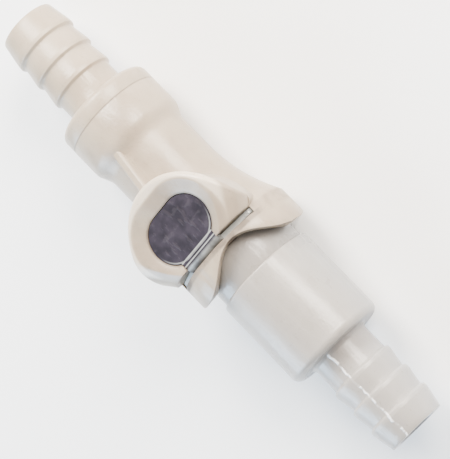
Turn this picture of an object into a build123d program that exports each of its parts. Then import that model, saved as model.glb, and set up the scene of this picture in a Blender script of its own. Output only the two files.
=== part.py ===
"""Plastic quick disconnect coupling: a latching body and an insert, joined, with hose barbs.

Millimetres. +X runs from the body's hose barb to the insert's hose barb, +Z points up through
the thumb pad, and the coupling lies on Z = 0 with its middle over the origin.
"""
import math
import os

from build123d import *

# ---- hose ends -------------------------------------------------------------
hose_bore_d = 7.2
barb_tip_d = 10.0
barb_root_d = 10.4
barb_crest_d = 11.4
barb_land = 0.6
barb_back = 0.35
barb_crest_round = 0.2
barb_count = 3
body_barb_lead = 4.8
body_barb_pitch = 4.3
body_barb_neck = 4.6
insert_barb_lead = 4.2
insert_barb_pitch = 4.0
insert_barb_neck = 5.3

# ---- coupling body, outside --------------------------------------------------
barrel_d = 17.4
end_ring_length = 3.1
end_ring_round = 1.1
barrel_length = 4.6
shoulder_length = 3.8
waist_d = 15.2
waist_length = 6.0
flare_length = 13.25
collar_d = 22.0
lip_thickness = 0.7
crown_length = 3.95
crown_bore_d = 17.2
crown_windows = 3
crown_lobe_width = 3.4
crown_window_turn = 28.0

# ---- thumb guard on the body -------------------------------------------------
guard_height = 10.9
guard_reach = 14.2
guard_width = 24.0
guard_corner = 1.6
guard_depth = 7.6
guard_round = 0.8
guard_taper = 15.0
ear_start = 4.4
ear_run = 5.2
ear_drop = 4.9
ear_skew = 50.0
dish_depth = 0.8
dish_spread = 2.6
fin_width = 1.6
fin_start = 8.4
fin_height = 8.2
fin_round = 0.5

# ---- latch, one stamped and folded strip ---------------------------------------
strip = 0.8
latch_travel = 1.3
pad_length = 12.6
pad_width = 8.5
pad_setback = 0.9
neck_width = 8.0
fold_inside = 0.3
fold_outside = 1.1
plate_width = 18.2
plate_shoulder = 5.9
plate_waist = -1.0
plate_foot = 7.0
foot_width = 9.0
plate_round = 1.2
hole_gap = 0.15
slot_front_gap = 0.2
latch_gap = 0.1
pad_gap = 0.15
slot_side_gap = 0.25

# ---- insert ------------------------------------------------------------------
nose_d = 11.6
nose_length = 9.7
nose_chamfer = 0.6
groove_gap = 0.15
insert_collar_d = 16.2
insert_collar_length = 5.75
insert_barrel_d = 17.4
insert_barrel_length = 16.5
insert_barrel_round = 1.3
insert_shoulder_round = 0.35
insert_root_round = 0.8
spigot_d = 14.0
insert_spigot_length = 5.2
insert_chamber_setback = 1.4
body_spigot_length = 6.8
running_gap = 0.05
seating_gap = 0.02

# ---- seals ---------------------------------------------------------------------
joint_seal_wire = 1.2
nose_seal_wire = 1.4
poppet_seal_wire = 1.2
insert_poppet_seal_wire = 0.9
seal_stand = 0.45
seal_room = 0.3
poppet_lip = 0.3
nose_seal_setback = 3.4

# ---- valves --------------------------------------------------------------------
chamber_d = 12.4
body_seat_d = 9.0
body_seat_thickness = 1.2
body_head_d = 9.2
body_head_length = 2.6
insert_bore_d = 6.4
insert_seat_d = 4.6
insert_seat_thickness = 1.0
insert_head_d = 5.0
insert_head_length = 2.4
stem_d = 2.4
pin_d = 2.2
valve_opening = 2.4
valve_shuttle = 1.0
valve_spring_turns = 5
guide_thickness = 1.2
guide_hub_d = 4.4
guide_ring = 1.1
guide_spoke = 1.3
guide_spokes = 3
body_spring_wire = 0.6
body_spring_d = 7.0
insert_spring_wire = 0.45
insert_spring_d = 4.4
latch_spring_wire = 0.35
latch_spring_d = 3.2
latch_spring_turns = 2
spring_tilt = 0.15
wall = 0.9
groove_wall = 0.6

# ---- stations along X, worked out from the lengths above --------------------------
body_barb_length = body_barb_lead + (barb_count - 1) * body_barb_pitch + body_barb_neck
insert_barb_length = insert_barb_lead + (barb_count - 1) * insert_barb_pitch + insert_barb_neck
slot_width = strip + latch_gap + slot_front_gap
body_length = (end_ring_length + barrel_length + shoulder_length + waist_length + flare_length
               + slot_width + lip_thickness)
insert_shown = insert_collar_length + insert_barrel_length
overall_length = body_barb_length + body_length + insert_shown + insert_barb_length

body_tip_x = -overall_length / 2
ring_x = body_tip_x + body_barb_length
shell_x = ring_x + end_ring_length
shoulder_x = shell_x + barrel_length
waist_x = shoulder_x + shoulder_length
flare_x = waist_x + waist_length
slot_x = flare_x + flare_length
lip_x = slot_x + slot_width
stop_x = lip_x + lip_thickness
crown_x = stop_x + crown_length
joint_x = stop_x + insert_collar_length
insert_end_x = joint_x + insert_barrel_length
insert_tip_x = insert_end_x + insert_barb_length
nose_x = stop_x - nose_length

axis_z = barrel_d / 2
long_axis = Axis((0, 0, axis_z), (1, 0, 0))
side_view = Plane(origin=(0, 0, axis_z), x_dir=(1, 0, 0), z_dir=(0, -1, 0))
crest_r = barb_crest_d / 2
root_r = barb_root_d / 2
bore_r = hose_bore_d / 2


def end_view(x):
    """The plane square to the long axis at x, with its own x to the side and its y up."""
    return Plane(origin=(x, 0, axis_z), x_dir=(0, 1, 0), z_dir=(1, 0, 0))


def plan_view(height):
    """The level plane at a height above the long axis."""
    return Plane.XY.offset(axis_z + height)


def barb_points(tip_x, way, lead, pitch):
    """The outline of a row of barbs from the tip inwards, where way is the sign of that step."""
    points = [(tip_x, barb_tip_d / 2)]
    for number in range(barb_count):
        crest_x = tip_x + way * (lead + number * pitch)
        points += [(crest_x - way * barb_land, crest_r), (crest_x, crest_r)]
        points += [(crest_x + way * barb_back, root_r)]
    return points


def ring_seal(x, inner_r, wire):
    """An O-ring lying in a groove whose floor has the radius inner_r."""
    with BuildPart() as seal:
        with BuildSketch(side_view):
            with Locations((x, inner_r + seating_gap + wire / 2)):
                Circle(wire / 2)
        revolve(axis=long_axis)
    return seal.part


def coil(start, way, length, turns, mean_d, wire):
    """A helical compression spring, length tall with its wire, standing at start and rising along way."""
    rise = length - wire
    foot = Vector(*start) + Vector(*way) * (wire / 2)
    with BuildPart() as spring:
        with BuildLine() as path:
            Helix(pitch=rise / turns, height=rise, radius=mean_d / 2, center=foot, direction=way)
        with BuildSketch(Plane(origin=path.line @ 0, z_dir=path.line % 0)):
            Circle(wire / 2)
        sweep(is_frenet=True)
    return spring.part


def finish(solid, name):
    """Label a finished piece and write it."""
    solid.label = name
    export_step(solid, f"parts/{name}.step")


os.makedirs("parts", exist_ok=True)

# ---- hose end of the body: barbs, end ring and the spigot that plugs into the shell --------
spigot_x = shell_x + body_spigot_length
body_joint_seal_x = shell_x + body_spigot_length / 2
joint_groove_r = spigot_d / 2 - joint_seal_wire
joint_groove_width = joint_seal_wire + seal_room
insert_chamber_d = 2 * (joint_groove_r - groove_wall)
with BuildPart() as body_barb_end:
    with BuildSketch(side_view) as barbs:
        with BuildLine():
            row = barb_points(body_tip_x, 1, body_barb_lead, body_barb_pitch)
            Polyline(*row, (ring_x, root_r), (ring_x, 0), (body_tip_x, 0), close=True)
        make_face()
        fillet(barbs.vertices().group_by(Axis.Y)[-1], barb_crest_round)
    revolve(axis=long_axis)
    with BuildSketch(end_view(ring_x)):
        Circle(barrel_d / 2)
    extrude(amount=end_ring_length)
    fillet(body_barb_end.edges().filter_by(GeomType.CIRCLE).filter_by_position(
        Axis.X, ring_x - 0.01, ring_x + 0.01).sort_by(SortBy.RADIUS)[-1], end_ring_round)
    with BuildSketch(end_view(shell_x)):
        Circle(spigot_d / 2)
    extrude(amount=body_spigot_length)
    with BuildSketch(side_view):
        with Locations((body_joint_seal_x, joint_groove_r)):
            Rectangle(joint_groove_width, joint_seal_wire * 2, align=(Align.CENTER, Align.MIN))
    revolve(axis=long_axis, mode=Mode.SUBTRACT)
    with BuildSketch(end_view(body_tip_x)):
        Circle(bore_r)
    extrude(amount=spigot_x - body_tip_x, mode=Mode.SUBTRACT)
finish(body_barb_end.part, "body_barb_end")
finish(ring_seal(body_joint_seal_x, joint_groove_r, joint_seal_wire - 2 * seating_gap), "body_joint_seal")

# ---- body shell: barrel, waist, flared collar, thumb guard and crown ------------------------
socket_r = spigot_d / 2 + seating_gap
guide_x = spigot_x
chamber_x = guide_x + guide_thickness
seat_back_x = nose_x - running_gap - body_seat_thickness
nose_bore_r = nose_d / 2 + running_gap
pad_x = slot_x - pad_setback - pad_width / 2
pad_top = guard_height - dish_depth
pad_floor = pad_top - strip - latch_travel - latch_gap
spring_floor = nose_bore_r + wall
with BuildPart() as guard:
    draw_in = guard_depth * math.tan(math.radians(guard_taper))
    for height, shrink in ((guard_height, 0), (guard_height - guard_depth, draw_in)):
        with BuildSketch(plan_view(height)) as outline:
            with Locations((slot_x, 0)):
                Ellipse(guard_reach - shrink, guard_width / 2 - shrink)
                Rectangle(guard_reach, guard_width, align=(Align.MAX, Align.CENTER), mode=Mode.INTERSECT)
            fillet(outline.vertices().group_by(Axis.X)[-1], guard_corner)
    loft()
    # each ear falls away in a curve, outwards and towards the slot
    ear_foot = guard_height - ear_drop
    for side in (1, -1):
        skew = math.radians(ear_skew)
        fall_way = Vector(math.cos(skew), side * math.sin(skew), 0)
        with BuildSketch(Plane(Vector(0, 0, axis_z), fall_way, fall_way.cross(Vector(0, 0, 1)))):
            with BuildLine():
                EllipticalCenterArc((ear_start, ear_foot), ear_run, ear_drop, 0, arc_size=90)
                Polyline((ear_start, guard_height), (ear_start, guard_height * 2), (guard_width, guard_height * 2),
                         (guard_width, ear_foot), (ear_start + ear_run, ear_foot))
            make_face()
        extrude(amount=guard_width, both=True, mode=Mode.SUBTRACT)
    # round the rim where the top meets the sloping wall, not the seam down the back
    rim = guard.edges().filter_by(lambda edge: edge.center().Z > axis_z + ear_foot + guard_round)
    rim = rim.filter_by(lambda edge: math.hypot((edge.position_at(0.5).X - slot_x) / (guard_reach - draw_in),
                                                edge.position_at(0.5).Y / guard_width * 2) > 0.9)
    fillet(rim.filter_by(lambda edge: abs(edge.tangent_at(0.5).Z) < 0.9), guard_round)

with BuildPart() as fin:
    with BuildSketch(side_view):
        with BuildLine():
            fin_foot = flare_x - fin_start
            fin_end = slot_x - guard_reach + 2 * guard_round
            fin_root = waist_d / 2 - wall
            Polyline((fin_foot, fin_height), (fin_end, guard_height - guard_round), (fin_end, fin_root),
                     (fin_foot, fin_root), close=True)
        make_face()
    extrude(amount=fin_width / 2, both=True)
    fillet(fin.faces().sort_by(Axis.Z)[-1].edges().filter_by(Axis.Y, reverse=True), fin_round)

with BuildPart() as body_shell:
    with BuildSketch(side_view):
        with BuildLine():
            barrel_top = Line((shell_x, barrel_d / 2), (shoulder_x, barrel_d / 2))
            Spline(barrel_top @ 1, (waist_x, waist_d / 2), tangents=((1, 0), (1, 0)))
            waist_top = Line((waist_x, waist_d / 2), (flare_x, waist_d / 2))
            TangentArc(waist_top @ 1, (slot_x, collar_d / 2), tangent=(1, 0))
            Line((slot_x, collar_d / 2), (crown_x, collar_d / 2))
            Polyline((crown_x, collar_d / 2), (crown_x, 0), (shell_x, 0), (shell_x, barrel_d / 2))
        make_face()
    revolve(axis=long_axis)
    add(guard.part)
    add(fin.part)
    # flat underneath, level with the barrel
    with BuildSketch(Plane.XY):
        Rectangle(overall_length, collar_d * 2)
    extrude(amount=-collar_d, mode=Mode.SUBTRACT)
    # bores, from the back: socket and guide, valve chamber, seat, nose, crown
    bores = (
        (shell_x, chamber_x, socket_r),
        (chamber_x, seat_back_x, chamber_d / 2),
        (seat_back_x, nose_x - running_gap, body_seat_d / 2),
        (nose_x - running_gap, stop_x, nose_bore_r),
        (stop_x, crown_x, crown_bore_d / 2),
    )
    for start_x, end_x, radius in bores:
        with BuildSketch(end_view(start_x)):
            Circle(radius)
        extrude(amount=end_x - start_x, mode=Mode.SUBTRACT)
    # slot that the latch plate slides in, narrower where its foot comes through underneath
    with BuildSketch(end_view(slot_x)):
        with Locations((0, plate_waist - slot_side_gap)):
            Rectangle(plate_width + 2 * slot_side_gap, guard_height * 2, align=(Align.CENTER, Align.MIN))
        Rectangle(foot_width + 2 * slot_side_gap, collar_d, align=(Align.CENTER, Align.MAX))
        with BuildLine():
            side_y = plate_width / 2 + slot_side_gap
            foot_y = foot_width / 2 + slot_side_gap
            low_z = plate_waist - latch_travel - slot_side_gap
            foot_z = -plate_foot - latch_travel - slot_side_gap
            Polyline((-side_y, 0), (-side_y, low_z), (-foot_y, foot_z), (foot_y, foot_z),
                     (side_y, low_z), (side_y, 0), close=True)
        make_face()
    extrude(amount=slot_width, mode=Mode.SUBTRACT)
    # dish for the thumb, the pocket that the pad sinks into, and the spring hole under it
    with BuildSketch(plan_view(pad_top)):
        with Locations((pad_x, 0)):
            SlotOverall(pad_length + 2 * pad_gap, pad_width + 2 * pad_gap, rotation=90)
    with BuildSketch(plan_view(guard_height)):
        with Locations((pad_x, 0)):
            SlotOverall(pad_length + 2 * dish_spread, pad_width + 2 * dish_spread, rotation=90)
    loft(mode=Mode.SUBTRACT)
    with BuildSketch(plan_view(guard_height)):
        with Locations((pad_x, 0)):
            SlotOverall(pad_length + 2 * dish_spread, pad_width + 2 * dish_spread, rotation=90)
    extrude(amount=collar_d, mode=Mode.SUBTRACT)
    with BuildSketch(plan_view(pad_floor)):
        with Locations((pad_x, 0)):
            SlotOverall(pad_length + 2 * pad_gap, pad_width + 2 * pad_gap, rotation=90)
            Rectangle(slot_x - pad_x, neck_width + 2 * pad_gap, align=(Align.MIN, Align.CENTER))
    extrude(amount=guard_height, mode=Mode.SUBTRACT)
    with BuildSketch(plan_view(spring_floor)):
        with Locations((pad_x, 0)):
            Circle((latch_spring_d + latch_spring_wire) / 2 + pad_gap)
    extrude(amount=guard_height - spring_floor, mode=Mode.SUBTRACT)
    # crown: windows with a wavy edge leave as many lobes round the insert
    half_window = math.pi / crown_windows - crown_lobe_width / collar_d
    for number in range(crown_windows):
        turn = math.radians(crown_window_turn + number * 360 / crown_windows)
        outward = (0, math.sin(turn), math.cos(turn))
        with BuildSketch(Plane((stop_x, 0, axis_z), (1, 0, 0), outward)):
            with BuildLine():
                wave = [((1 - math.cos(math.pi * share)) / 2 * crown_length,
                         collar_d / 2 * math.sin(share * half_window)) for share in (-1, -0.6, -0.3, 0, 0.3, 0.6, 1)]
                edge = Spline(*wave)
                Polyline(edge @ 1, (crown_length * 2, collar_d / 2), (crown_length * 2, -collar_d / 2), edge @ 0)
            make_face()
        extrude(amount=collar_d, mode=Mode.SUBTRACT)
finish(body_shell.part, "body_shell")

# ---- thumb latch: pad, fold and the plate with the keyhole, in one strip --------------------
plate_x = slot_x + latch_gap
plate_front_x = plate_x + strip
hole_r = nose_d / 2 + hole_gap
groove_r = hole_r - latch_travel - groove_gap
with BuildPart() as latch:
    with BuildSketch(plan_view(pad_top)):
        with Locations((pad_x, 0)):
            SlotOverall(pad_length, pad_width, rotation=90)
    extrude(amount=-strip)
    with BuildSketch(side_view) as fold:
        with BuildLine():
            Polyline((pad_x, pad_top), (plate_front_x, pad_top), (plate_front_x, plate_shoulder),
                     (plate_x, plate_shoulder), (plate_x, pad_top - strip), (pad_x, pad_top - strip), close=True)
        make_face()
        fillet(fold.vertices().group_by(Axis.X)[1].sort_by(Axis.Y)[-1], fold_inside)
        fillet(fold.vertices().group_by(Axis.Y)[-1].sort_by(Axis.X)[-1], fold_outside)
    extrude(amount=neck_width / 2, both=True)
    with BuildSketch(end_view(plate_x)) as plate:
        with BuildLine():
            Polyline((-neck_width / 2, pad_top - fold_outside), (-plate_width / 2, plate_shoulder),
                     (-plate_width / 2, plate_waist), (-foot_width / 2, -plate_foot),
                     (foot_width / 2, -plate_foot), (plate_width / 2, plate_waist),
                     (plate_width / 2, plate_shoulder), (neck_width / 2, pad_top - fold_outside), close=True)
        make_face()
        fillet(plate.vertices().filter_by_position(Axis.Y, -plate_foot - 1, plate_shoulder + 1), plate_round)
        with Locations((0, latch_travel)):
            Circle(hole_r, mode=Mode.SUBTRACT)
    extrude(amount=strip)
finish(latch.part, "thumb_latch")

spring_top = pad_top - strip
spring_foot = (pad_x, 0, axis_z + spring_floor + seating_gap)
finish(coil(spring_foot, (0, 0, 1), spring_top - spring_floor - spring_tilt * latch_spring_wire,
            latch_spring_turns, latch_spring_d, latch_spring_wire), "latch_spring")

# ---- insert nose: the plug with its latch groove, collar and rear spigot ---------------------
insert_guide_x = stop_x + insert_chamber_setback
insert_spigot_x = joint_x + insert_spigot_length
insert_joint_seal_x = joint_x + insert_spigot_length / 2
nose_seal_x = nose_x + nose_seal_setback
nose_groove_r = nose_d / 2 - nose_seal_wire
insert_seat_x = nose_x + insert_seat_thickness
with BuildPart() as insert_nose:
    with BuildSketch(side_view):
        with BuildLine():
            Polyline((nose_x, 0), (nose_x, nose_d / 2 - nose_chamfer), (nose_x + nose_chamfer, nose_d / 2),
                     (stop_x + running_gap, nose_d / 2), (stop_x + running_gap, insert_collar_d / 2),
                     (joint_x, insert_collar_d / 2), (joint_x, spigot_d / 2),
                     (insert_spigot_x, spigot_d / 2), (insert_spigot_x, 0), close=True)
        make_face()
        with Locations((plate_x - latch_gap, groove_r)):
            Rectangle(strip + 2 * latch_gap, nose_d, align=(Align.MIN, Align.MIN), mode=Mode.SUBTRACT)
        with Locations((nose_seal_x, nose_groove_r)):
            Rectangle(nose_seal_wire + seal_room, nose_d, align=(Align.CENTER, Align.MIN), mode=Mode.SUBTRACT)
        with Locations((insert_joint_seal_x, joint_groove_r)):
            Rectangle(joint_groove_width, nose_d, align=(Align.CENTER, Align.MIN), mode=Mode.SUBTRACT)
    revolve(axis=long_axis)
    bores = (
        (nose_x, insert_seat_x, insert_seat_d / 2),
        (insert_seat_x, insert_guide_x, insert_bore_d / 2),
        (insert_guide_x, insert_spigot_x, insert_chamber_d / 2),
    )
    for start_x, end_x, radius in bores:
        with BuildSketch(end_view(start_x)):
            Circle(radius)
        extrude(amount=end_x - start_x, mode=Mode.SUBTRACT)
finish(insert_nose.part, "insert_nose")
finish(ring_seal(nose_seal_x, nose_groove_r, nose_seal_wire - 2 * seating_gap), "insert_nose_seal")
finish(ring_seal(insert_joint_seal_x, joint_groove_r, joint_seal_wire - 2 * seating_gap), "insert_joint_seal")

# ---- hose end of the insert: barrel, socket for the spigot, barbs ------------------------------
with BuildPart() as insert_barb_end:
    with BuildSketch(end_view(joint_x)):
        Circle(insert_barrel_d / 2)
    extrude(amount=insert_barrel_length)
    fillet(insert_barb_end.edges().group_by(Axis.X)[-1], insert_barrel_round)
    fillet(insert_barb_end.edges().group_by(Axis.X)[0], insert_shoulder_round)
    with BuildSketch(side_view) as barbs:
        with BuildLine():
            row = barb_points(insert_tip_x, -1, insert_barb_lead, insert_barb_pitch)
            Polyline(*row, (insert_end_x - wall, root_r), (insert_end_x - wall, 0), (insert_tip_x, 0), close=True)
        make_face()
        fillet(barbs.vertices().group_by(Axis.Y)[-1], barb_crest_round)
    revolve(axis=long_axis)
    fillet(insert_barb_end.edges().filter_by(GeomType.CIRCLE).filter_by_position(
        Axis.X, insert_end_x - 0.01, insert_end_x + 0.01).sort_by(SortBy.RADIUS)[0], insert_root_round)
    bores = (
        (joint_x, insert_spigot_x, spigot_d / 2 + seating_gap),
        (insert_spigot_x, insert_end_x - 2 * wall, insert_chamber_d / 2),
        (insert_end_x - 2 * wall, insert_tip_x, bore_r),
    )
    for start_x, end_x, radius in bores:
        with BuildSketch(end_view(start_x)):
            Circle(radius)
        extrude(amount=end_x - start_x, mode=Mode.SUBTRACT)
finish(insert_barb_end.part, "insert_barb_end")


def poppet(head_x, way, head_d, head_length, seal_wire, pin_length, stem_end_x):
    """A valve poppet whose head faces way from head_x, with a push pin in front and a stem behind."""
    groove_x = head_x - way * (poppet_lip + (seal_wire + seal_room) / 2)
    with BuildPart() as valve:
        with BuildSketch(side_view):
            with BuildLine():
                back_x = head_x - way * head_length
                tip_x = head_x + way * pin_length
                Polyline((tip_x, 0), (tip_x, pin_d / 2), (head_x, pin_d / 2), (head_x, head_d / 2),
                         (back_x, head_d / 2), (back_x, stem_d / 2), (stem_end_x, stem_d / 2),
                         (stem_end_x, 0), close=True)
            make_face()
            with Locations((groove_x, head_d / 2 + seal_stand - seal_wire)):
                Rectangle(seal_wire + seal_room, head_d, align=(Align.CENTER, Align.MIN), mode=Mode.SUBTRACT)
        revolve(axis=long_axis)
    return valve.part


def guide(x, outer_d):
    """A spider that carries the stem: a hub and a ring joined by spokes."""
    with BuildPart() as spider:
        with BuildSketch(end_view(x)):
            Circle(outer_d / 2 - seating_gap)
            Circle(outer_d / 2 - guide_ring, mode=Mode.SUBTRACT)
            Circle(guide_hub_d / 2)
            with PolarLocations(0, guide_spokes):
                Rectangle(outer_d / 2 - guide_ring / 2, guide_spoke, align=(Align.MIN, Align.CENTER))
            Circle(stem_d / 2 + running_gap, mode=Mode.SUBTRACT)
        extrude(amount=guide_thickness)
    return spider.part


# ---- valves, pushed open nose to nose ---------------------------------------------------------
meet_x = nose_x - running_gap
body_head_x = seat_back_x - valve_opening
insert_head_x = insert_seat_x + valve_opening
body_head_back_x = body_head_x - body_head_length
insert_head_back_x = insert_head_x + insert_head_length
stem_tail = valve_shuttle + wall
body_groove_r = body_head_d / 2 + seal_stand - poppet_seal_wire
insert_groove_r = insert_head_d / 2 + seal_stand - insert_poppet_seal_wire
finish(poppet(body_head_x, 1, body_head_d, body_head_length, poppet_seal_wire,
              meet_x - body_head_x, guide_x - stem_tail), "body_poppet")
finish(poppet(insert_head_x, -1, insert_head_d, insert_head_length, insert_poppet_seal_wire,
              insert_head_x - meet_x - running_gap, insert_guide_x + guide_thickness + stem_tail), "insert_poppet")
finish(ring_seal(body_head_x - poppet_lip - (poppet_seal_wire + seal_room) / 2, body_groove_r,
                 poppet_seal_wire - 2 * seating_gap), "body_poppet_seal")
finish(ring_seal(insert_head_x + poppet_lip + (insert_poppet_seal_wire + seal_room) / 2, insert_groove_r,
                 insert_poppet_seal_wire - 2 * seating_gap), "insert_poppet_seal")
finish(guide(guide_x, spigot_d), "body_stem_guide")
finish(guide(insert_guide_x, insert_chamber_d), "insert_stem_guide")
body_spring_foot = (chamber_x + seating_gap, 0, axis_z)
finish(coil(body_spring_foot, (1, 0, 0), body_head_back_x - chamber_x - spring_tilt * body_spring_wire,
            valve_spring_turns, body_spring_d, body_spring_wire), "body_valve_spring")
insert_spring_foot = (insert_guide_x - seating_gap, 0, axis_z)
finish(coil(insert_spring_foot, (-1, 0, 0),
            insert_guide_x - insert_head_back_x - spring_tilt * insert_spring_wire,
            valve_spring_turns, insert_spring_d, insert_spring_wire), "insert_valve_spring")
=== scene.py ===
import math

import bmesh
import bpy
from mathutils import Matrix, Vector


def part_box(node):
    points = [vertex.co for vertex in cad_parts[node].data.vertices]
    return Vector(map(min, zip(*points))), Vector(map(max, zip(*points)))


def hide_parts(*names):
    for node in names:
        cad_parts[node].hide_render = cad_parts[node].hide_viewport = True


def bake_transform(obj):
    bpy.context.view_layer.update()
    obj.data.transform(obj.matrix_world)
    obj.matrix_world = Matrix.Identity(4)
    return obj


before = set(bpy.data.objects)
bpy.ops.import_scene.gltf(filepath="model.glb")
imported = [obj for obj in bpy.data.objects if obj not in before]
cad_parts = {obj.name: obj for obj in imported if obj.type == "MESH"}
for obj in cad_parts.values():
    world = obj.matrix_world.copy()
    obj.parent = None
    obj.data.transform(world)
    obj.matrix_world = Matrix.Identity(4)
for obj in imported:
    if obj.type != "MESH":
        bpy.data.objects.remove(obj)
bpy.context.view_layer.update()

# ---- hose end of the body ----------------------------------------------------------------
# The end that a hose is pushed on: three ridges, a short neck and the wide end ring.
# It is moulded in natural acetal, a warm white plastic with a satin skin, and its spigot is
# welded into the shell behind it.
ring_low, ring_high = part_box("body_barb_end")
MIDLINE = Vector((0.0, 0.0, (ring_low.z + ring_high.z) / 2))
JOINT_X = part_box("body_shell")[0].x


class Signal:
    """One output of a material's nodes. Arithmetic on it adds Math nodes."""

    # The sockets of a Mix node that mixes colours.
    MIX_FACTOR, MIX_PLAIN, MIX_CHANGED, MIX_RESULT = 0, 6, 7, 2

    def __init__(self, tree, socket=None):
        self.tree = tree
        self.socket = socket

    def node(self, kind, settings=None, inputs=None, output=0):
        """Adds a node of that kind: its settings first, then the values or links of its sockets."""
        made = self.tree.nodes.new("ShaderNode" + kind)
        for name, value in (settings or {}).items():
            setattr(made, name, value)
        for key, value in (inputs or {}).items():
            if isinstance(value, Signal):
                self.tree.links.new(value.socket, made.inputs[key])
            else:
                made.inputs[key].default_value = value
        return Signal(self.tree, made.outputs[output])

    def math(self, operation, *values):
        """Adds a Math node for all of those values. The signal itself is only one if it is given."""
        return self.node("Math", {"operation": operation}, dict(enumerate(values)))

    def __add__(self, other):
        return self.math("ADD", self, other)

    def __radd__(self, other):
        return self.math("ADD", other, self)

    def __sub__(self, other):
        return self.math("SUBTRACT", self, other)

    def __rsub__(self, other):
        return self.math("SUBTRACT", other, self)

    def __mul__(self, other):
        return self.math("MULTIPLY", self, other)

    def __rmul__(self, other):
        return self.math("MULTIPLY", other, self)

    def __truediv__(self, other):
        return self.math("DIVIDE", self, other)

    def __rtruediv__(self, other):
        return self.math("DIVIDE", other, self)

    def __neg__(self):
        return self.math("MULTIPLY", self, -1.0)

    def __abs__(self):
        return self.math("ABSOLUTE", self)

    def step(self, low, high):
        """0 at low and 1 at high, smooth between. The value of low may be the larger one."""
        return self.node("MapRange", {"interpolation_type": "SMOOTHSTEP"},
                         {"Value": self, "From Min": low, "From Max": high})

    def mix(self, plain, changed):
        """The colour plain where the signal is 0, and changed where it is 1."""
        sockets = {self.MIX_FACTOR: self}
        for key, shade in ((self.MIX_PLAIN, plain), (self.MIX_CHANGED, changed)):
            sockets[key] = shade if isinstance(shade, Signal) else (*shade, 1.0)
        return self.node("Mix", {"data_type": "RGBA"}, sockets, self.MIX_RESULT)


def new_material(name, **constants):
    """A material, its shader with those constants on it, and the place on the piece."""
    made = bpy.data.materials.new(name)
    made.use_nodes = True
    shader = made.node_tree.nodes["Principled BSDF"]
    for key, value in constants.items():
        shader.inputs[key.replace("_", " ")].default_value = value
    return made, shader, Signal(made.node_tree).node("TexCoord", output="Object")


def axes(place):
    """The x and y of a place, and its height above the midline."""
    x, y, z = (place.node("SeparateXYZ", inputs={"Vector": place}, output=axis) for axis in "XYZ")
    return x, y, z - MIDLINE.z


def noise(place, scale, detail=2.0, stretch=(1.0, 1.0, 1.0)):
    """Cloudy noise of that many lumps a metre, around 0.5, drawn out where stretch is below 1."""
    spread = place.node("VectorMath", {"operation": "MULTIPLY"}, {0: place, 1: stretch})
    return place.node("TexNoise", inputs={"Vector": spread, "Scale": scale, "Detail": detail}, output="Fac")


def line(offset, edge, core):
    """1 within core metres of where offset is 0, and fading out to 0 at edge metres from it."""
    return abs(offset).step(edge, core)


def relief(height, distance):
    """The normal of a surface with bumps of that many metres where height goes from 0 to 1."""
    return height.node("Bump", inputs={"Height": height, "Distance": distance, "Strength": 1.0})


def feed(shader, **signals):
    """Links signals to the shader's sockets."""
    for key, signal in signals.items():
        signal.tree.links.new(signal.socket, shader.inputs[key.replace("_", " ")])


def dress(node, material, edge=0.0):
    """Gives a piece of the frame its material and, where edge isn't 0, softened edges of that width."""
    same_place, sharp = 1e-6, math.radians(35)
    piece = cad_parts[node]
    piece.data.materials.clear()
    piece.data.materials.append(material)
    if edge:
        weld = piece.modifiers.new("weld", "WELD")
        weld.merge_threshold = same_place
        bevel = piece.modifiers.new("edges", "BEVEL")
        bevel.width = edge
        bevel.segments = 2
        bevel.limit_method = "ANGLE"
        bevel.angle_limit = sharp
        bevel.harden_normals = True


def ivory_tones(place, dull, bright, yellow):
    """The colour of natural acetal, cloudy from dull to bright and yellowed in places, and its clouds."""
    cloud = noise(place, 140.0, 3.0).step(0.35, 0.68)
    yellowed = noise(place, 45.0, 1.0).step(0.5, 0.75) * 0.5
    return yellowed.mix(cloud.mix(dull, bright), yellow), cloud


def ivory_skin(shader, place, colour, cloud, seam, dark_joint_and_shade=0.0):
    """Feeds the shader that colour with a few specks, and a skin of scuffs, dimples and the mould's seam."""
    speck = noise(place, 2600.0, 0.0).step(0.74, 0.80) * 0.35
    scuff = noise(place, 900.0, 4.0, (0.15, 1.0, 1.0)).step(0.60, 0.72)
    dimples = noise(place, 2200.0, 1.0) * 0.35 + noise(place, 260.0, 1.0)
    feed(shader, Base_Color=speck.mix(colour, (0.20, 0.155, 0.115)),
         Roughness=0.30 + cloud * 0.08 + scuff * 0.14 + dark_joint_and_shade * 0.3,
         Normal=relief(dimples + seam * 0.5, 0.00009))


# What light does inside the ivory acetal, and the edge and core of its two fine lines.
IVORY_BODY = {"Subsurface_Weight": 0.12, "Subsurface_Scale": 0.0015,
              "Subsurface_Radius": (1.0, 0.8, 0.6), "IOR": 1.48}
JOINT_LINE = (0.00022, 0.00006)
MOULD_LINE = (0.00012, 0.00004)

ivory, shader, place = new_material("ivory_acetal", **IVORY_BODY)
x, y, z = axes(place)
colour, cloud = ivory_tones(place, (0.315, 0.252, 0.186), (0.371, 0.302, 0.227), (0.337, 0.265, 0.181))
in_joint = line(x - JOINT_X, *JOINT_LINE) * 0.45
colour = in_joint.mix(colour, (0.16, 0.125, 0.09))
ivory_skin(shader, place, colour, cloud, line(z, *MOULD_LINE))
dress("body_barb_end", ivory, 0.00012)

# ---- rubber rings ------------------------------------------------------------------------
# Five O-rings of black nitrile rubber, moulded and trimmed: one in each welded joint, one on
# the insert's nose and one on each poppet. All of them sit in turned grooves out of sight.
rubber, shader, place = new_material("black_rubber", Specular_IOR_Level=0.4)
bloom = noise(place, 500.0, 3.0).step(0.45, 0.8)
feed(shader, Base_Color=bloom.mix((0.012, 0.012, 0.013), (0.05, 0.05, 0.05)),
     Roughness=0.42 + bloom * 0.25,
     Normal=relief(noise(place, 4000.0, 2.0), 0.00002))
for ring in ("body_joint_seal", "insert_joint_seal", "insert_nose_seal", "body_poppet_seal",
             "insert_poppet_seal"):
    dress(ring, rubber)
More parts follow.
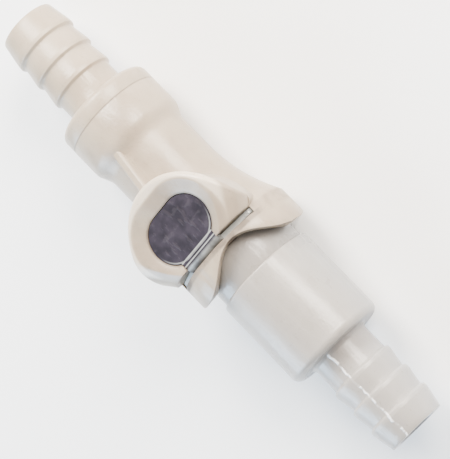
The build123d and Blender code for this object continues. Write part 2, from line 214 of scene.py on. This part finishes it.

# ---- body shell --------------------------------------------------------------------------
# The housing of the valve and the latch: barrel, waist, slotted collar with its three-lobed crown, and the
# guard round the thumb pad, in the hose end's acetal. Painted shade darkens the dish, a ring round the pad,
# the slot and the lip beside it, the joint is a dark line, and a painted highlight lightens the guard's
# crest.
latch_low, latch_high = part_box("thumb_latch")
SLOT_X = latch_high.x
PAD_ROUND = 0.00425         # the radius of the pad's two round ends
PAD_STRAIGHT = 0.00205      # half the straight run between them
PAD_X = latch_low.x + PAD_ROUND
PAD_TOP = 0.0096            # the height above the midline where the guard's crest and the pad's rim begin


def outside_pad(x, y):
    """How far outside the outline of the thumb pad a place is, in metres, and negative inside it."""
    beyond = abs(y) - PAD_STRAIGHT
    beyond = beyond.math("MAXIMUM", beyond, 0.0)
    ahead = x - PAD_X
    return beyond.math("SQRT", ahead * ahead + beyond * beyond) - PAD_ROUND


shell_ivory, shader, place = new_material("ivory_acetal_shell", **IVORY_BODY)
x, y, z = axes(place)
from_pad = outside_pad(x, y)
colour, cloud = ivory_tones(place, (0.281, 0.222, 0.164), (0.343, 0.278, 0.208), (0.309, 0.241, 0.164))
patchy = noise(place, 380.0, 4.0).step(0.38, 0.66)
# Painted shade: the shell is darkened at the slot, on the lip beside it, in a ring round the pad and in the
# dish, where shade falls in these gaps and hollows; the joint line is a dark joint.
slot_shade = line(x - SLOT_X, 0.0019, 0.0006) * (0.25 + patchy * 0.75)
pad_ring_shade = line(from_pad, 0.00050, 0.00022) * z.step(0.0060, 0.0075)
in_joint = line(x - JOINT_X, *JOINT_LINE)
dish_shade = from_pad.step(0.0027, 0.0021) * z.step(0.0070, 0.0080)
lip_shade = (x.step(SLOT_X, SLOT_X + 0.0002) * x.step(SLOT_X + 0.0012, SLOT_X + 0.0008)
       * z.step(0.0040, 0.0058))
dark_joint_and_shade = (lip_shade * (0.55 + patchy * 0.30) + slot_shade * 0.50 + dish_shade * (0.16 + patchy * 0.12)
         + pad_ring_shade * (0.60 + patchy * 0.30) + in_joint * 0.45)
colour = dark_joint_and_shade.mix(colour, (0.12, 0.092, 0.068))
# Painted highlight: the guard's crest is lightened where the light catches it.
crest_highlight = (from_pad.step(0.0026, 0.0031) * z.step(PAD_TOP, PAD_TOP + 0.0007)
         * x.step(SLOT_X, SLOT_X - 0.0008) * 0.75)
colour = crest_highlight.mix(colour, (0.60, 0.515, 0.415))
seam = line(y, *MOULD_LINE) * z.step(0.0, -0.001)
ivory_skin(shader, place, colour, cloud, seam, dark_joint_and_shade)
dress("body_shell", shell_ivory, 0.00018)

# ---- thumb latch -------------------------------------------------------------------------
# One stamped strip of stainless steel, folded down at the front: the pad that the thumb presses and the
# plate with the keyhole that slides in the slot. The pad's colour is dark and the plate's sides are rubbed
# bright. The fold is lighter, partly as worn steel and partly as a painted highlight, painted highlights
# lighten the pad's rim and two creases by the fold, and fine scratches run across the steel.
steel, shader, place = new_material("worn_latch_steel", Metallic=0.25, Specular_IOR_Level=0.2)
x, y, z = axes(place)
mottle = noise(place, 420.0, 4.0).step(0.3, 0.7)
scratch = noise(place, 1500.0, 5.0, (0.35, 1.0, 0.3)).step(0.56, 0.66)
cross = noise(place, 700.0, 6.0, (1.0, 0.5, 0.3)).step(0.58, 0.66)
# Painted highlights: the pad's rim and two creases by the fold are lightened where they catch the light. The
# fold is lighter both as worn steel and as a painted highlight, and the plate below the pad is rubbed
# bright.
fold_highlight_and_wear = x.step(SLOT_X - 0.0013, SLOT_X - 0.0008) * (0.45 + mottle * 0.4)
crease_highlights = (line(x - (SLOT_X - 0.0022), 0.00016, 0.00005)
           + line(x - (SLOT_X - 0.0015), 0.00014, 0.00005))
plate = z.step(PAD_TOP, PAD_TOP - 0.0008)
rim_highlight = (line(outside_pad(x, y) + 0.00022, 0.00016, 0.00006) * x.step(-0.0012, 0.0018)
       * z.step(PAD_TOP, PAD_TOP + 0.0002) * 0.6)
bright = fold_highlight_and_wear.math("MAXIMUM", rim_highlight.math("MAXIMUM", fold_highlight_and_wear, rim_highlight), plate.math("MAXIMUM", crease_highlights, plate))
colour = mottle.mix((0.013, 0.0105, 0.0145), (0.026, 0.020, 0.028))
colour = (scratch * 0.20 + cross * 0.15).mix(colour, (0.075, 0.065, 0.075))
colour = (bright * (0.75 + mottle * 0.25)).mix(colour, (0.30, 0.305, 0.29))
feed(shader, Base_Color=colour, Roughness=0.44 - scratch * 0.12 + mottle * 0.10 - bright * 0.10,
     Normal=relief(scratch * 0.4 + cross * 0.3 + noise(place, 300.0, 1.0), 0.00003))
dress("thumb_latch", steel, 0.00010)

# ---- springs -----------------------------------------------------------------------------
# Three compression springs of drawn stainless wire, wound with closed ends: one lifts the thumb latch, and
# one in each half closes its valve.
spring_wire, shader, place = new_material("drawn_spring_wire", Metallic=1.0)
drawn = noise(place, 2500.0, 2.0)
feed(shader, Base_Color=drawn.step(0.3, 0.7).mix((0.42, 0.41, 0.40), (0.60, 0.59, 0.57)),
     Roughness=0.24 + drawn * 0.16, Normal=relief(drawn, 0.000008))


def coil(name, way, turns, wire):
    """
    Winds a spring of that wire in the box of the CAD spring of that name, along the x or z axis.
    """
    closed, steps_a_turn, corners = 0.8, 28, 12
    low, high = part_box(name)
    middle = (low + high) / 2
    foot = low[way] + wire / 2
    rise = high[way] - low[way] - wire
    radius = (high.y - low.y - wire) / 2
    first_axis, second_axis = (axis for axis in range(3) if axis != way)
    upward = Vector((0, 0, 0))
    upward[way] = 1.0
    steps = int(steps_a_turn * turns)
    form = bmesh.new()
    rings = []
    for number in range(steps + 1):
        turned = turns * number / steps
        share = min(max((turned - closed / 2) / (turns - closed), 0.0), 1.0)
        angle = 2 * math.pi * turned
        outward = Vector((0, 0, 0))
        outward[first_axis] = math.cos(angle)
        outward[second_axis] = math.sin(angle)
        centre = middle + outward * radius
        centre[way] = foot + rise * share
        ring = []
        for corner in range(corners):
            round_it = 2 * math.pi * corner / corners
            spoke = (outward * math.cos(round_it) + upward * math.sin(round_it)) * wire / 2
            ring.append(form.verts.new(centre + spoke))
        rings.append(ring)
    for first, second in zip(rings, rings[1:]):
        for corner in range(corners):
            form.faces.new((first[corner], first[corner - 1], second[corner - 1], second[corner]))
    form.faces.new(rings[0])
    form.faces.new(list(reversed(rings[-1])))
    bmesh.ops.recalc_face_normals(form, faces=form.faces)
    mesh = bpy.data.meshes.new(name + "_wound")
    form.to_mesh(mesh)
    form.free()
    for face in mesh.polygons:
        face.use_smooth = len(face.vertices) == 4
    mesh.materials.append(spring_wire)
    wound = bpy.data.objects.new(name + "_wound", mesh)
    bpy.context.scene.collection.objects.link(wound)
    dress(name, spring_wire)
    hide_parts(name)
    start, end = middle.copy(), middle.copy()
    start[way] = low[way] + wire
    end[way] = high[way] - wire
    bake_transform(wound)


coil("latch_spring", 2, 3.4, 0.00035)
coil("body_valve_spring", 0, 5.8, 0.0006)
coil("insert_valve_spring", 0, 5.8, 0.00045)

# ---- valve in the body, and valve in the insert ------------------------------------------
# A poppet and the three-spoked guide for its stem in each half, moulded in white acetal and clean,
# since they are never touched. They show only down the flow bores.
white, shader, place = new_material("white_acetal", IOR=1.48, Subsurface_Weight=0.1,
                                    Subsurface_Scale=0.001)
cloud = noise(place, 220.0, 3.0).step(0.35, 0.68)
ripple = noise(place, 3000.0, 1.0, (1.0, 0.2, 0.2))
feed(shader, Base_Color=cloud.mix((0.60, 0.60, 0.575), (0.70, 0.70, 0.68)),
     Roughness=0.32 + cloud * 0.1, Normal=relief(ripple, 0.00002))
for part in ("body_poppet", "body_stem_guide", "insert_poppet", "insert_stem_guide"):
    dress(part, white)

# ---- insert: nose and hose end -----------------------------------------------------------
# The half that plugs in: its nose with the latch groove and the collar inside the crown, then the barrel
# and the hose end. Both are moulded in a cooler, slightly milky acetal. The barrel has faint flow streaks
# along it, and the halves of the mould left a proud, broken line along the barb, painted near white as a
# highlight. Painted light warms the upper side, and painted shade darkens the collar inside the crown and
# one side of the neck.
COLLAR_SHADE_X = (0.0114, 0.0108)       # where along the insert the painted shade on the collar ends and is full
NECK_FRONT_X = (0.0272, 0.0279)         # where the painted brown shade on the neck begins and is full
NECK_BACK_X = (0.0335, 0.0295)          # where it ends and is full
NECK_SIDE_Y = (-0.0030, 0.0025)         # the side of the neck that it is on
MOULD_ANGLE = math.radians(9)           # how far from upright the halves of the mould met

milky, shader, place = new_material(
    "milky_acetal", Subsurface_Weight=0.25, Subsurface_Scale=0.002, Subsurface_Radius=(1.0, 0.95, 0.9),
    IOR=1.48)
x, y, z = axes(place)
cloud = noise(place, 120.0, 3.0).step(0.35, 0.68)
colour = cloud.mix((0.252, 0.248, 0.247), (0.300, 0.296, 0.295))
streak = noise(place, 700.0, 3.0, (0.08, 1.0, 1.0)).step(0.5, 0.72)
colour = (streak * 0.5).mix(colour, (0.338, 0.329, 0.318))
# Painted light: the upper side is tinted warmer and lighter, as the warm light falls on it from above.
painted_top_light = z.step(-0.002, 0.007) * 0.45
colour = painted_top_light.mix(colour, (0.326, 0.275, 0.220))
# Painted shade: the collar inside the crown is darkened where the crown shades it.
shade = x.step(*COLLAR_SHADE_X) * (0.25 + cloud * 0.2)
colour = shade.mix(colour, (0.12, 0.108, 0.098))
# Painted shade: one side of the neck is tinted brown and darker where it turns from the light.
neck_shade = x.step(*NECK_FRONT_X) * x.step(*NECK_BACK_X) * (0.22 + cloud * 0.15) * y.step(*NECK_SIDE_Y)
colour = neck_shade.mix(colour, (0.13, 0.10, 0.085))
wander = (noise(place, 420.0, 3.0) - 0.5) * 0.0016
across = y * math.cos(MOULD_ANGLE) - z * math.sin(MOULD_ANGLE) + wander
broken = noise(place, 900.0, 2.0, (1.0, 0.1, 0.1)).step(0.40, 0.56)
seam = line(across, 0.00026, 0.00008) * z.step(0.0, 0.001) * x.step(0.0276, 0.0281) * (0.10 + broken * 0.90)
# Painted highlight: the proud mould line is coloured near white and glossier where it catches the light; its
# bump is its real relief.
colour = (seam * 0.9).mix(colour, (0.85, 0.85, 0.85))
speck = noise(place, 2400.0, 0.0).step(0.75, 0.81) * 0.3
colour = speck.mix(colour, (0.18, 0.15, 0.12))
scuff = noise(place, 800.0, 4.0, (0.2, 1.0, 1.0)).step(0.58, 0.72)
dimples = noise(place, 2000.0, 1.0) * 0.3 + noise(place, 240.0, 1.0)
feed(shader, Base_Color=colour, Roughness=0.27 + cloud * 0.07 + scuff * 0.16 - seam * 0.12,
     Normal=relief(dimples + streak * 0.1 + seam * 1.4, 0.00009))
for half in ("insert_nose", "insert_barb_end"):
    dress(half, milky, 0.00012)

# ---- floor, lights and camera ------------------------------------------------------------
# A plain pale floor and an even sky. Two warm softboxes stand high, one beside the coupling and one off
# the body's hose end, and a weaker cool one stands lower on the other side.
FLOOR_HALF = 1.5
floor_mesh = bpy.data.meshes.new("floor")
floor_mesh.from_pydata([(-FLOOR_HALF, -FLOOR_HALF, 0), (FLOOR_HALF, -FLOOR_HALF, 0),
                        (FLOOR_HALF, FLOOR_HALF, 0), (-FLOOR_HALF, FLOOR_HALF, 0)], [], [(0, 1, 2, 3)])
floor = bpy.data.objects.new("floor", floor_mesh)
bpy.context.scene.collection.objects.link(floor)
paper, shader, place = new_material("paper", Roughness=0.9, Specular_IOR_Level=0.1)
feed(shader, Base_Color=noise(place, 60.0).mix((0.93, 0.93, 0.93), (0.95, 0.95, 0.95)))
floor_mesh.materials.append(paper)

world = bpy.data.worlds.new("studio")
bpy.context.scene.world = world
world.use_nodes = True
sky = world.node_tree.nodes["Background"]
sky.inputs["Color"].default_value = (1.0, 1.0, 1.0, 1)
sky.inputs["Strength"].default_value = 0.60


def softbox(name, place, size, power, colour):
    """A square area light that faces the coupling."""
    light = bpy.data.lights.new(name, "AREA")
    light.size = size
    light.energy = power
    light.color = colour
    lamp = bpy.data.objects.new(name, light)
    bpy.context.scene.collection.objects.link(lamp)
    lamp.location = place
    lamp.rotation_euler = (MIDLINE - Vector(place)).to_track_quat("-Z", "Y").to_euler()


softbox("key", (-0.08, 0.44, 0.26), 0.24, 9.0, (1.0, 0.92, 0.82))
softbox("window", (-0.36, 0.16, 0.34), 0.24, 11.0, (1.0, 0.95, 0.88))
softbox("fill", (0.08, -0.44, 0.20), 0.30, 7.0, (0.62, 0.80, 1.0))

lean_along = math.radians(10.6)
lean_across = math.radians(30.2)
turn = math.radians(45.9)
distance = 0.3
along = Vector((math.cos(turn), -math.sin(turn), 0))
across = Vector((math.sin(turn), math.cos(turn), 0))
towards = Vector((0, 0, 1))
out = -math.sin(lean_along) * along + math.cos(lean_along) * towards
picture_x = math.cos(lean_along) * along + math.sin(lean_along) * towards
picture_y = math.cos(lean_across) * across + math.sin(lean_across) * out
picture_z = -math.sin(lean_across) * across + math.cos(lean_across) * out
look = Matrix((picture_x, picture_y, picture_z))
camera_data = bpy.data.cameras.new("camera")
camera_data.lens = 148.1
camera_data.shift_x = 0.0172
camera_data.shift_y = -0.0176
camera = bpy.data.objects.new("camera", camera_data)
bpy.context.scene.collection.objects.link(camera)
camera.matrix_world = Matrix.Translation(MIDLINE + look @ Vector((0, 0, distance))) @ look.to_4x4()
bpy.context.scene.camera = camera
